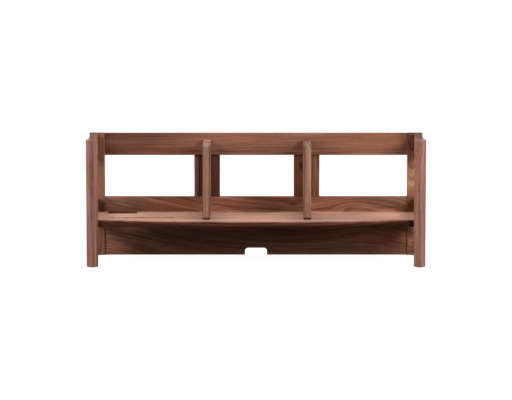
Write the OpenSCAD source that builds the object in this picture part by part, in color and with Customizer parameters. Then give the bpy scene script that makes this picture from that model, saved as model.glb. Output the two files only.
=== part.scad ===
// A desk shelf of solid wood: ladder side frames, an open rear frame, a bowed board and two dividers.
// All sizes are millimetres. X runs left to right, Y front to back, Z up from the desk.
// The origin is on the desk, under the middle of the whole object.

/* [Overall] */
// Width over the outer sides of the posts
overall_w = 850; // [760:1:1000]
// Depth from the front of the front posts to the back of the rear posts
overall_d = 222; // [205:1:280]
// Height of the rear posts, the top rail and the upper side rails above the desk
frame_h = 315; // [295:1:365]
// How far the front posts stand above the frame
front_post_rise = 6.5; // [0:0.5:12]

/* [Posts] */
// Diameter of the round front posts
front_post_d = 29; // [27:0.5:34]
// Width of the rear posts, seen from the front
rear_post_w = 38; // [34:0.5:46]
// Thickness of the rear posts, front to back
rear_post_t = 23; // [21:0.5:28]

/* [Rails] */
// Thickness of the side rails
side_rail_t = 18; // [15:0.5:20]
// How far the side rails lie in from the outer sides of the posts
side_rail_inset = 3; // [2:0.5:5]
// Distance from a front post's centre back to the flat that a side rail is seated on
rail_seat = 7; // [5:0.5:8]
// Height of the top rail and of the upper side rails
upper_rail_h = 55.5; // [45:0.5:65]
// Height above the desk of the top edges of the lower side rails and the rear panel
lower_rail_top = 151.5; // [144:0.5:170]
// Thickness of the top rail and the rear panel
rear_rail_t = 18; // [16:0.5:20]
// How far the top rail and the rear panel lie behind the rear posts' front faces
rear_rail_setback = 2; // [0:0.5:3]

// Height of the rear panel's lower edge above the desk
panel_gap = 1.5; // [1.5:0.5:6]

/* [Cable notch] */
// Width of the cable notch in the rear panel's lower edge
notch_w = 56.5; // [40:0.5:90]
// Height of the cable notch above the rear panel's lower edge
notch_h = 18; // [10:0.5:25]
// Radius of the cable notch's upper corners
notch_r = 8.5; // [2:0.5:9.5]

/* [Uprights] */
// Width of the uprights between the top rail and the rear panel
upright_w = 65.5; // [55:0.5:90]
// Thickness of the uprights
upright_t = 12; // [11:0.5:13]
// How far the uprights lie behind the top rail's front face
upright_setback = 4; // [2:0.5:4.5]

/* [Bays and dividers] */
// Clear width of the left bay, from the side rail to the divider
bay_left_w = 269.5; // [230:0.5:290]
// Clear width of the right bay, from the divider to the side rail
bay_right_w = 265; // [230:0.5:290]
// Thickness of the dividers
divider_t = 19; // [17:0.5:22]
// Height of the dividers above the board
divider_h = 186.5; // [165:0.5:190]
// Distance from the front of the front posts to the front of the dividers
divider_front = 56; // [50:1:70]
// Radius of the dividers' two upright front edges
divider_r = 5.5; // [3:0.5:8]
// Radius of the rounding under the front of a divider's foot
divider_foot_r = 3.5; // [1:0.5:5]

/* [Shelf board] */
// Height of the board's upper face above the desk
board_top = 113.5; // [108:0.5:121]
// Thickness of the board
board_t = 20; // [18:0.5:22]
// Distance from the front of the front posts to the board's front edge at its ends
board_end_front = 60; // [55:1:70]
// How far the front edge bows forward at the middle
board_bow = 31; // [10:0.5:34]
// Distance that the straight lower front edge lies behind the board's front edge at its ends
undercut_back = 7; // [1:0.5:9]
// Radius of the rounding along the upper front edge
nose_r = 3.5; // [1:0.5:5]
// Fullness of the undercut between the two front edges: 1 is a flat bevel and 2 an ellipse
undercut_fullness = 1.6; // [1.2:0.1:2]

/* [Tray] */
// Length of the shallow tray in the left bay
tray_l = 168; // [100:1:190]
// Width of the tray, front to back
tray_w = 34; // [15:0.5:40]
// Depth of the tray
tray_depth = 3; // [1:0.5:4]
// Radius of the tray's corners
tray_r = 2.5; // [1:0.5:5]
// Distance from the board's left end to the tray
tray_inset = 29; // [24:0.5:45]
// Distance from the board's front edge at its ends back to the tray
tray_gap = 10; // [5:0.5:14]

/* [Cable cut-out] */
// Width of the cut-out in the board's rear left corner
cutout_w = 76; // [40:0.5:90]
// Depth of the cut-out from the board's back edge
cutout_d = 37; // [20:0.5:40]
// Radius of the cut-out's inner corners
cutout_r = 5; // [3:0.5:8]
// Distance from the board's left end to the cut-out
cutout_inset = 25.5; // [24:0.5:45]

/* [Dowels] */
// Diameter of the dowels in the thick boards
dowel_d = 8; // [7:0.5:8]
// Length of the dowels in the thick boards
dowel_l = 30; // [28:0.5:32]
// Depth of a dowel in a post or a rail that it enters through the side
dowel_bite = 12; // [10:0.5:12.5]
// Depth of a dowel in the thickness of the rear panel, the top rail or the board
thin_bite = 10; // [8:0.5:12]
// Diameter of the dowels in the uprights
small_dowel_d = 6; // [5:0.5:6]
// Length of the dowels in the uprights
small_dowel_l = 24; // [20:0.5:26]
// Distance from a rail's upper or lower edge to its nearest dowel
dowel_edge = 14; // [12:0.5:16]
// Distance from the middle of an upright to each of its dowels
upright_dowel_x = 18; // [16:0.5:22]
// Distance along the board from a divider's middle to the board's back dowels
back_dowel_x = 60; // [45:1:75]
// Distance from the board's right end to its last back dowel
last_dowel_x = 40; // [30:1:60]
// Distance from a divider's front to its first foot dowel
foot_dowel_front = 27; // [24:0.5:35]
// Distance from a divider's back edge to its last foot dowel
foot_dowel_back = 45; // [38:1:55]
// Distance from the board's straight lower front edge to its first end dowel
end_dowel_front = 25; // [18:1:30]
// Distance from the board's back edge to its last end dowel
end_dowel_back = 41; // [38:1:50]
// Size of the chamfer at each end of a dowel
dowel_chamfer = 0.8; // [0.4:0.1:1.2]

/* [Foot pads] */
// Diameter of the felt pads
pad_d = 18; // [12:0.5:19]
// Thickness of the felt pads
pad_t = 2.5; // [1.5:0.5:4]
// How far the pads stand out below the posts
pad_proud = 1; // [0.5:0.1:1.4]

/* [Edges and fits] */
// Radius of the eased edges of the rails, uprights and rear posts
edge_r = 1.2; // [0.5:0.1:2]
// Radius of the eased ends of the front posts
post_end_r = 1; // [0.5:0.1:2]
// Gap all round between a side rail's end and its seat in a front post
seat_gap = 0.1; // [0.05:0.05:0.2]
// Gap all round between a dowel and its bore, taken up by glue
bore_gap = 0.1; // [0.05:0.05:0.2]
// Gap at each end of a dowel
bore_end_gap = 0.5; // [0.2:0.1:0.8]
// Gap above and below the step at a divider's back that reaches the upright
step_gap = 0.2; // [0.1:0.1:0.4]

/* [Hidden] */
$fn = 96;
eps = 0.01;
past = 5;                       // how far a cutter runs past the wood that it cuts
front_stations = 36;            // slices of the board's front strip from end to end
nose_steps = 4;                 // steps of the rounding above the front edge in each slice
undercut_steps = 8;             // steps of the undercut's curve in each slice
seam_back = 2;                  // how far behind the shaped front the plain part of the board starts

half_w = overall_w / 2;
front_y = -overall_d / 2;
back_y = overall_d / 2;
foot_z = pad_proud;

front_post_x = half_w - front_post_d / 2;
front_post_y = front_y + front_post_d / 2;
front_post_top = frame_h + front_post_rise;

rear_post_x = half_w - rear_post_w / 2;
rear_post_y = back_y - rear_post_t / 2;
rear_post_face = back_y - rear_post_t;
rear_post_inner = half_w - rear_post_w;

side_rail_x = half_w - side_rail_inset - side_rail_t / 2;
side_rail_inner = half_w - side_rail_inset - side_rail_t;
side_rail_front = front_post_y + rail_seat;
side_rail_l = rear_post_face - side_rail_front;

upper_rail_z = frame_h - upper_rail_h;
board_z = board_top - board_t;
lower_rail_h = lower_rail_top - board_z;

rear_rail_face = rear_post_face + rear_rail_setback;
rear_rail_y = rear_rail_face + rear_rail_t / 2;
rear_panel_h = lower_rail_top - panel_gap;
upright_face = rear_rail_face + upright_setback;
upright_y = upright_face + upright_t / 2;
upright_h = upper_rail_z - lower_rail_top;

divider_left_x = -side_rail_inner + bay_left_w + divider_t / 2;
divider_right_x = side_rail_inner - bay_right_w - divider_t / 2;
divider_xs = [divider_left_x, divider_right_x];
divider_y = front_y + divider_front;
divider_top = board_top + divider_h;

board_half = side_rail_inner;
board_end_y = front_y + board_end_front;
board_mid_y = board_end_y - board_bow;
undercut_y = board_end_y + undercut_back;
seam_y = board_end_y + max(nose_r, undercut_back) + seam_back;
nose_z = board_top - nose_r;
bow_r = (board_half * board_half + board_bow * board_bow) / (2 * board_bow);

// Dowels: a place on the joint's plane, a turn that points +Z into the piece that is not bitten,
// and the bite
upper_zs = [upper_rail_z + dowel_edge, frame_h - dowel_edge];
lower_zs = [board_z + dowel_edge, lower_rail_top - dowel_edge];
panel_zs = [panel_gap + 2 * dowel_edge, (panel_gap + lower_rail_top) / 2,
    lower_rail_top - 2 * dowel_edge];
board_mid_z = board_z + board_t / 2;
to_back = [-90, 0, 0];
to_front = [90, 0, 0];
to_up = [0, 0, 0];
to_down = [180, 0, 0];
function inward(side) = [0, -90 * side, 0];

function side_joints(side) = [
    for (z = concat(upper_zs, lower_zs))
        each [
            [[side * side_rail_x, side_rail_front, z], to_back, dowel_bite],
            [[side * side_rail_x, rear_post_face, z], to_front, dowel_bite]
        ]
];
top_rail_joints = [
    for (side = [-1, 1]) for (z = upper_zs)
        [[side * rear_post_inner, rear_rail_y, z], inward(side), dowel_bite]
];
rear_panel_joints = [
    for (side = [-1, 1]) for (z = panel_zs)
        [[side * rear_post_inner, rear_rail_y, z], inward(side), dowel_bite]
];
upright_joints = [
    for (x = divider_xs) for (dx = [-upright_dowel_x, upright_dowel_x])
        each [
            [[x + dx, upright_y, upper_rail_z], to_down, small_dowel_l / 2],
            [[x + dx, upright_y, lower_rail_top], to_up, small_dowel_l / 2]
        ]
];
board_end_joints = [
    for (side = [-1, 1]) for (y = [undercut_y + end_dowel_front, rear_rail_face - end_dowel_back])
        [[side * side_rail_inner, y, board_mid_z], inward(side), dowel_bite]
];
board_back_xs = [
    for (x = divider_xs) each [x - back_dowel_x, x + back_dowel_x],
    board_half - last_dowel_x
];
board_back_joints = [
    for (x = board_back_xs) [[x, rear_rail_face, board_mid_z], to_front, thin_bite]
];
divider_foot_joints = [
    for (x = divider_xs) for (y = [divider_y + foot_dowel_front, rear_rail_face - foot_dowel_back])
        [[x, y, board_top], to_up, thin_bite]
];
divider_back_zs = [(board_top + lower_rail_top) / 2, (upper_rail_z + divider_top) / 2];
divider_back_joints = [
    for (x = divider_xs) for (z = divider_back_zs)
        [[x, rear_rail_face, z], to_front, thin_bite]
];

// Outlines

// A rectangle from its lower left corner, with all four corners rounded
module eased_rectangle(w, h, r) {
    translate([r, 0]) square([w - 2 * r, h]);
    translate([0, r]) square([w, h - 2 * r]);
    for (x = [r, w - r]) for (y = [r, h - r]) translate([x, y]) circle(r = r);
}

// A rectangle that stands on Y = 0 around X = 0, with only its two upper corners rounded
module arched_rectangle(w, h, r) {
    translate([-w / 2 + r, 0]) square([w - 2 * r, h]);
    translate([-w / 2, 0]) square([w, h - r]);
    for (x = [-w / 2 + r, w / 2 - r]) translate([x, h - r]) circle(r = r);
}

// Bars

// A bar along Y, around X = 0, with its long edges eased and grown by a gap all round
module bar_along_y(w, l, h, gap = 0) {
    translate([-w / 2 - gap, l, -gap]) rotate([90, 0, 0])
        linear_extrude(l) eased_rectangle(w + 2 * gap, h + 2 * gap, edge_r + gap);
}

// A bar along X, around X = 0, from its front lower edge, with its long edges eased
module bar_along_x(l, t, h) {
    translate([-l / 2, 0, 0]) rotate([90, 0, 90])
        linear_extrude(l) eased_rectangle(t, h, edge_r);
}

// Dowels

// One dowel along Z from Z = 0, chamfered at both ends
module dowel(d, l) {
    c = dowel_chamfer;
    cylinder(h = c, d1 = d - 2 * c, d2 = d);
    translate([0, 0, c]) cylinder(h = l - 2 * c, d = d);
    translate([0, 0, l - c]) cylinder(h = c, d1 = d, d2 = d - 2 * c);
}

// Every dowel of a list of joints
module dowel_group(joints, d = dowel_d, l = dowel_l) {
    for (j = joints) translate(j[0]) rotate(j[1]) translate([0, 0, -j[2]]) dowel(d, l);
}

// The bores for a list of joints, which run into both pieces
module bores(joints, d = dowel_d, l = dowel_l) {
    for (j = joints) translate(j[0]) rotate(j[1]) translate([0, 0, -j[2] - bore_end_gap])
        cylinder(h = l + 2 * bore_end_gap, d = d + 2 * bore_gap);
}

// Posts

// The shallow round seat for a felt pad in the foot of a post
module pad_seat() {
    translate([0, 0, foot_z - past]) cylinder(h = past + pad_t - pad_proud, d = pad_d + 2 * bore_gap);
}

// A side rail of one height, at the side of the frame that side names (-1 left, 1 right)
module side_rail(side, z, h, gap = 0) {
    translate([side * side_rail_x, side_rail_front, z]) bar_along_y(side_rail_t, side_rail_l, h, gap);
}

// A turned post with eased ends, seats for both side rails and bores for their dowels
module front_post(side) {
    r = front_post_d / 2;
    h = front_post_top - foot_z;
    difference() {
        translate([side * front_post_x, front_post_y, foot_z]) rotate_extrude() {
            square([r - post_end_r, h]);
            translate([0, post_end_r]) square([r, h - 2 * post_end_r]);
            for (z = [post_end_r, h - post_end_r]) translate([r - post_end_r, z]) circle(r = post_end_r);
        }
        side_rail(side, upper_rail_z, upper_rail_h, seat_gap);
        side_rail(side, board_z, lower_rail_h, seat_gap);
        bores(side_joints(side));
        translate([side * front_post_x, front_post_y, 0]) pad_seat();
    }
}

// A rectangular post, eased on its long edges and round its top, bored for the rails and the rear frame
module rear_post(side) {
    h = frame_h - foot_z;
    difference() {
        translate([side * rear_post_x, rear_post_y, foot_z]) intersection() {
            translate([-rear_post_w / 2, -rear_post_t / 2, 0])
                linear_extrude(h) eased_rectangle(rear_post_w, rear_post_t, edge_r);
            rotate([90, 0, 0]) translate([0, 0, -rear_post_t])
                linear_extrude(2 * rear_post_t) arched_rectangle(rear_post_w, h, edge_r);
            rotate([90, 0, 90]) translate([0, 0, -rear_post_w])
                linear_extrude(2 * rear_post_w) arched_rectangle(rear_post_t, h, edge_r);
        }
        bores(side_joints(side));
        bores(top_rail_joints);
        bores(rear_panel_joints);
        translate([side * rear_post_x, rear_post_y, 0]) pad_seat();
    }
}

// Side rails

module upper_side_rail(side) {
    difference() {
        side_rail(side, upper_rail_z, upper_rail_h);
        bores(side_joints(side));
    }
}

module lower_side_rail(side) {
    difference() {
        side_rail(side, board_z, lower_rail_h);
        bores(side_joints(side));
        bores(board_end_joints);
    }
}

// Rear frame

module top_rail() {
    color("#7d5441") difference() {
        translate([0, rear_rail_face, upper_rail_z])
            bar_along_x(2 * rear_post_inner, rear_rail_t, upper_rail_h);
        bores(top_rail_joints);
        bores(upright_joints, small_dowel_d, small_dowel_l);
        bores(divider_back_joints);
    }
}

module rear_panel() {
    color("#6b4636") difference() {
        translate([0, rear_rail_face, panel_gap])
            bar_along_x(2 * rear_post_inner, rear_rail_t, rear_panel_h);
        translate([0, rear_rail_face + rear_rail_t + past, panel_gap - past]) rotate([90, 0, 0])
            linear_extrude(rear_rail_t + 2 * past) arched_rectangle(notch_w, notch_h + past, notch_r);
        bores(rear_panel_joints);
        bores(upright_joints, small_dowel_d, small_dowel_l);
        bores(board_back_joints);
        bores(divider_back_joints);
    }
}

// A short wide board with its upright edges eased, bored at both ends
module upright(x) {
    difference() {
        translate([x - upright_w / 2, upright_face, lower_rail_top])
            linear_extrude(upright_h) eased_rectangle(upright_w, upright_t, edge_r);
        bores(upright_joints, small_dowel_d, small_dowel_l);
    }
}

// Dividers

// The divider seen from its side: a step at the back fills the space between top rail and rear panel
module divider_side() {
    l = rear_rail_face - divider_y;
    translate([divider_foot_r, 0]) square([l - divider_foot_r, divider_h]);
    translate([0, divider_foot_r]) square([l, divider_h - divider_foot_r - edge_r]);
    translate([edge_r, divider_foot_r]) square([l - edge_r, divider_h - divider_foot_r]);
    translate([divider_foot_r, divider_foot_r]) circle(r = divider_foot_r);
    translate([edge_r, divider_h - edge_r]) circle(r = edge_r);
    translate([l - eps, lower_rail_top - board_top + step_gap])
        square([upright_setback + eps, upright_h - 2 * step_gap]);
}

// The divider seen from above, with its two front corners rounded
module divider_plan() {
    l = upright_face - divider_y;
    translate([-divider_t / 2, divider_r]) square([divider_t, l - divider_r]);
    translate([-divider_t / 2 + divider_r, 0]) square([divider_t - 2 * divider_r, l]);
    for (x = [-1, 1]) translate([x * (divider_t / 2 - divider_r), divider_r]) circle(r = divider_r);
}

// The divider seen from the front, with its upper edges eased
module divider_front_view() {
    arched_rectangle(divider_t, divider_h, edge_r);
}

module divider(x) {
    difference() {
        translate([x, divider_y, board_top]) intersection() {
            linear_extrude(divider_h) divider_plan();
            rotate([90, 0, 90]) translate([0, 0, -divider_t])
                linear_extrude(2 * divider_t) divider_side();
            translate([0, overall_d, 0]) rotate([90, 0, 0])
                linear_extrude(2 * overall_d) divider_front_view();
        }
        bores(divider_foot_joints);
        bores(divider_back_joints);
    }
}

// Shelf board

// Where the bowed front edge lies at one place along the board
function bow_y(x) = board_mid_y + bow_r - sqrt(bow_r * bow_r - x * x);

// One slice across the front of the board: over the nose, back along the undercut, closed at the seam
function front_slice(x) = let (
    edge = bow_y(x),
    run = undercut_y - edge,
    drop = nose_z - board_z,
    power = 2 / undercut_fullness
) concat(
    [for (i = [0 : nose_steps - 1]) let (a = 90 * i / nose_steps)
        [x, edge + nose_r * (1 - sin(a)), nose_z + nose_r * cos(a)]],
    [for (i = [0 : undercut_steps]) let (a = 90 * i / undercut_steps)
        [x, undercut_y - run * pow(cos(a), power), nose_z - drop * pow(sin(a), power)]],
    [[x, seam_y, board_z], [x, seam_y, board_top]]
);

// The slices joined into one closed solid, from end to end of the board
module front_strip() {
    n = nose_steps + undercut_steps + 3;
    last = front_stations * n;
    points = [for (s = [0 : front_stations])
        each front_slice(-board_half + 2 * board_half * s / front_stations)];
    sides = [for (s = [0 : front_stations - 1]) for (i = [0 : n - 1])
        let (a = s * n + i, b = s * n + (i + 1) % n)
            each [[a, a + n, b + n], [a, b + n, b]]];
    ends = [[for (i = [0 : n - 1]) i], [for (i = [n - 1 : -1 : 0]) last + i]];
    polyhedron(points, concat(sides, ends), convexity = 4);
}

module shelf_board() {
    color("#9a7059") difference() {
        union() {
            front_strip();
            translate([-board_half, seam_y, board_z])
                cube([2 * board_half, rear_rail_face - seam_y, board_t]);
        }
        translate([-board_half + tray_inset, board_end_y + tray_gap, board_top - tray_depth])
            linear_extrude(tray_depth + past) eased_rectangle(tray_l, tray_w, tray_r);
        translate([-board_half + cutout_inset + cutout_w / 2, rear_rail_face + past, board_z - past])
            linear_extrude(board_t + 2 * past) mirror([0, 1])
                arched_rectangle(cutout_w, cutout_d + past, cutout_r);
        bores(board_end_joints);
        bores(board_back_joints);
        bores(divider_foot_joints);
    }
}

// Small parts

module foot_pads() {
    color("#4a443f") for (side = [-1, 1]) {
        translate([side * front_post_x, front_post_y, 0]) cylinder(h = pad_t, d = pad_d);
        translate([side * rear_post_x, rear_post_y, 0]) cylinder(h = pad_t, d = pad_d);
    }
}

module post_wood() { color("#a17a69") children(); }
module rail_wood() { color("#8b6e63") children(); }
module divider_wood() { color("#a27a66") children(); }
module upright_wood() { color("#6d4536") children(); }
module dowel_wood() { color("#d9c09a") children(); }

post_wood() front_post(-1);  // front_post_left
post_wood() front_post(1);  // front_post_right
post_wood() rear_post(-1);  // rear_post_left
post_wood() rear_post(1);  // rear_post_right
rail_wood() upper_side_rail(-1);  // upper_side_rail_left
rail_wood() upper_side_rail(1);  // upper_side_rail_right
rail_wood() lower_side_rail(-1);  // lower_side_rail_left
rail_wood() lower_side_rail(1);  // lower_side_rail_right
top_rail();
rear_panel();
upright_wood() upright(divider_left_x);  // upright_left
upright_wood() upright(divider_right_x);  // upright_right
divider_wood() divider(divider_left_x);  // divider_left
divider_wood() divider(divider_right_x);  // divider_right
shelf_board();
dowel_wood() dowel_group(side_joints(-1));  // side_dowels_left
dowel_wood() dowel_group(side_joints(1));  // side_dowels_right
dowel_wood() dowel_group(top_rail_joints);  // top_rail_dowels
dowel_wood() dowel_group(rear_panel_joints);  // rear_panel_dowels
dowel_wood() dowel_group(upright_joints, small_dowel_d, small_dowel_l);  // upright_dowels
dowel_wood() dowel_group(board_end_joints);  // board_end_dowels
dowel_wood() dowel_group(board_back_joints);  // board_back_dowels
dowel_wood() dowel_group(divider_foot_joints);  // divider_foot_dowels
dowel_wood() dowel_group(divider_back_joints);  // divider_back_dowels
foot_pads();
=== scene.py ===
import math
import bpy
import numpy as np
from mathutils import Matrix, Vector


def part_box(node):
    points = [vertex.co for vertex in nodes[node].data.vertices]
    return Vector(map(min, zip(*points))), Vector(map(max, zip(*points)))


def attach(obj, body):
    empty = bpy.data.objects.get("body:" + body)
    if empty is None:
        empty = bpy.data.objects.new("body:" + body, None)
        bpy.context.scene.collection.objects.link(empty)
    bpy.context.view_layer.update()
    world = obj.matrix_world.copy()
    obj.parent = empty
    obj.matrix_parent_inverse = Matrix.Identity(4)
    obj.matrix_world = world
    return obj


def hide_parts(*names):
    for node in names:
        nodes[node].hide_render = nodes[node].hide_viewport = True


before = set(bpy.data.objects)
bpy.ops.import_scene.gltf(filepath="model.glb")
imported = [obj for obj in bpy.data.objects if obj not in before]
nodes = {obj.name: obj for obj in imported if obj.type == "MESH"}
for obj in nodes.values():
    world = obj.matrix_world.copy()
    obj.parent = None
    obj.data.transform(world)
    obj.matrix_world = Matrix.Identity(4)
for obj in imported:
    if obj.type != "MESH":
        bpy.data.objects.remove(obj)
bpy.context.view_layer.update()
print("frame loaded:", len(nodes), "nodes")


# Gives an input socket its value: another node's output, a number, a vector or a colour of three parts.
def give(tree, socket, value):
    if isinstance(value, bpy.types.NodeSocket):
        tree.links.new(value, socket)
    elif socket.type == "RGBA":
        socket.default_value = (*value, 1.0)
    else:
        socket.default_value = value


# A new node of a kind, with the values of its inputs given by name.
def makeNode(tree, kind, values=None):
    node = tree.nodes.new(kind)
    for name, value in (values or {}).items():
        give(tree, node.inputs[name], value)
    return node


# One Math node: the named operation on its inputs.
def mathNode(tree, operation, *values, clamp=False):
    node = makeNode(tree, "ShaderNodeMath")
    node.operation = operation
    node.use_clamp = clamp
    for socket, value in zip(node.inputs, values):
        give(tree, socket, value)
    return node.outputs[0]


# first + second + ..., added from left to right.
def plus(tree, first, *others):
    for other in others:
        first = mathNode(tree, "ADD", first, other)
    return first


# first - second.
def minus(tree, first, second, clamp=False):
    return mathNode(tree, "SUBTRACT", first, second, clamp=clamp)


# first * second.
def times(tree, first, second, clamp=False):
    return mathNode(tree, "MULTIPLY", first, second, clamp=clamp)


# A noise made to swing about zero: (noise - 0.5) * amount.
def swing(tree, noise, amount):
    return times(tree, minus(tree, noise, 0.5), amount)


# One Vector Math node: the named operation on its inputs.
def vectorNode(tree, operation, *values):
    node = makeNode(tree, "ShaderNodeVectorMath")
    node.operation = operation
    for socket, value in zip(node.inputs, values):
        give(tree, socket, value)
    return node.outputs[0]


# A number from vectors: their dot product, or a vector's length.
def vectorNumber(tree, operation, *values):
    return vectorNode(tree, operation, *values).node.outputs[1]


# Three numbers as one vector.
def combine(tree, *parts):
    return makeNode(tree, "ShaderNodeCombineXYZ", dict(zip("XYZ", parts))).outputs[0]


# The three numbers of a vector.
def separate(tree, vector):
    return makeNode(tree, "ShaderNodeSeparateXYZ", {"Vector": vector}).outputs


# A smooth step from 0 at low to 1 at high: t * t * (3 - 2 * t) of the value between them.
def smoothStep(tree, value, low, high):
    node = makeNode(tree, "ShaderNodeMapRange", {"Value": value, "From Min": low, "From Max": high})
    node.interpolation_type = "SMOOTHSTEP"
    return node.outputs["Result"]


# A straight line from (low, start) to (high, end), held inside those ends.
def ramp(tree, value, low, high, start, end):
    node = makeNode(tree, "ShaderNodeMapRange", {
        "Value": value, "From Min": low, "From Max": high, "To Min": start, "To Max": end})
    return node.outputs["Result"]


# Noise of a vector: a sum of octaves, each twice as fine and weaker by the roughness.
def noiseNode(tree, vector, scale, detail, roughness):
    return makeNode(tree, "ShaderNodeTexNoise", {
        "Vector": vector, "Scale": scale, "Detail": detail, "Roughness": roughness}).outputs["Fac"]


# Colour between two colours by a factor.
def mixColours(tree, factor, first, second, blend="MIX", clamp=True):
    node = makeNode(tree, "ShaderNodeMix")
    node.data_type = "RGBA"
    node.blend_type = blend
    node.clamp_factor = clamp
    factorSlot, firstSlot, secondSlot, result = 0, 6, 7, 2     # a Mix node's sockets for colours
    give(tree, node.inputs[factorSlot], factor)
    give(tree, node.inputs[firstSlot], first)
    give(tree, node.inputs[secondSlot], second)
    return node.outputs[result]


# A new shader group with named inputs (name, kind, value) and outputs (name, kind).
def newGroup(name, inputs, outputs):
    group = bpy.data.node_groups.new(name, "ShaderNodeTree")
    kinds = {"number": "NodeSocketFloat", "vector": "NodeSocketVector", "colour": "NodeSocketColor"}
    for label, kind, value in inputs:
        socket = group.interface.new_socket(label, in_out="INPUT", socket_type=kinds[kind])
        if value is not None:
            socket.default_value = value
    for label, kind in outputs:
        group.interface.new_socket(label, in_out="OUTPUT", socket_type=kinds[kind])
    return group, group.nodes.new("NodeGroupInput").outputs, group.nodes.new("NodeGroupOutput").inputs


# The outputs of a shader group used in a material, with the values of its inputs given by name.
def useGroup(tree, group, values):
    node = tree.nodes.new("ShaderNodeGroup")
    node.node_tree = group
    for name, value in values.items():
        give(tree, node.inputs[name], value)
    return node.outputs


# The figure of the wood. Each noise is given by its scale across the grain, its scale along it, its
# detail and its roughness; broad and narrow streaks by their scales per ring, along the grain and across
# it, their detail and their roughness. A step is where a mask begins and where it is full.
woodFigure = {
    "slowBend": (11.0, 3.0, 2.0, 0.45),
    "quickBend": (50.0, 9.0, 2.0, 0.5), "quickShare": 0.2,
    "yearScale": 0.43, "yearDetail": 2.0,
    "yearShift": 2.6,                  # how many rings the years' noise moves a ring
    "lateStep": (0.3, 0.93),           # the part of a ring over which it darkens
    "yearStep": (0.3, 0.7), "palestYear": 0.3,
    "broad": (0.28, 2.2, 3.0, 2.0, 0.5), "broadStep": (0.32, 0.68), "broadShare": 0.38,
    "narrow": (1.15, 5.0, 7.0, 3.0, 0.62), "narrowStep": (0.3, 0.7), "narrowShare": 0.62,
    "fibre": (800.0, 16.0, 3.0, 0.65), "fibreStrength": 0.7,
    "fleck": (330.0, 85.0, 2.0, 0.6),
    "pore": (1900.0, 95.0, 1.0, 0.5),
    "earlyEnd": 0.7,                   # the part of a ring over which its pores grow smaller
    "poreRim": 0.69, "poreRimEarly": 0.09, "poreGain": 14.0,
    "poreShare": 0.6, "poreColour": (0.03, 0.013, 0.007),
    "cast": (20.0, 5.0, 1.0, 0.5), "castStep": (0.35, 0.7),
    "castShare": 0.35, "castColour": (0.92, 0.6, 0.42),
    "middle": 0.35, "endDark": 0.6, "darkest": 1.25, "lightest": -0.15,
    "fibreHeight": 0.35, "poreHeight": 0.9, "lateHeight": 0.25,
    "rough": 0.54, "poreRough": 0.22, "lateRough": 0.06, "endRough": 0.14,
}


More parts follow.
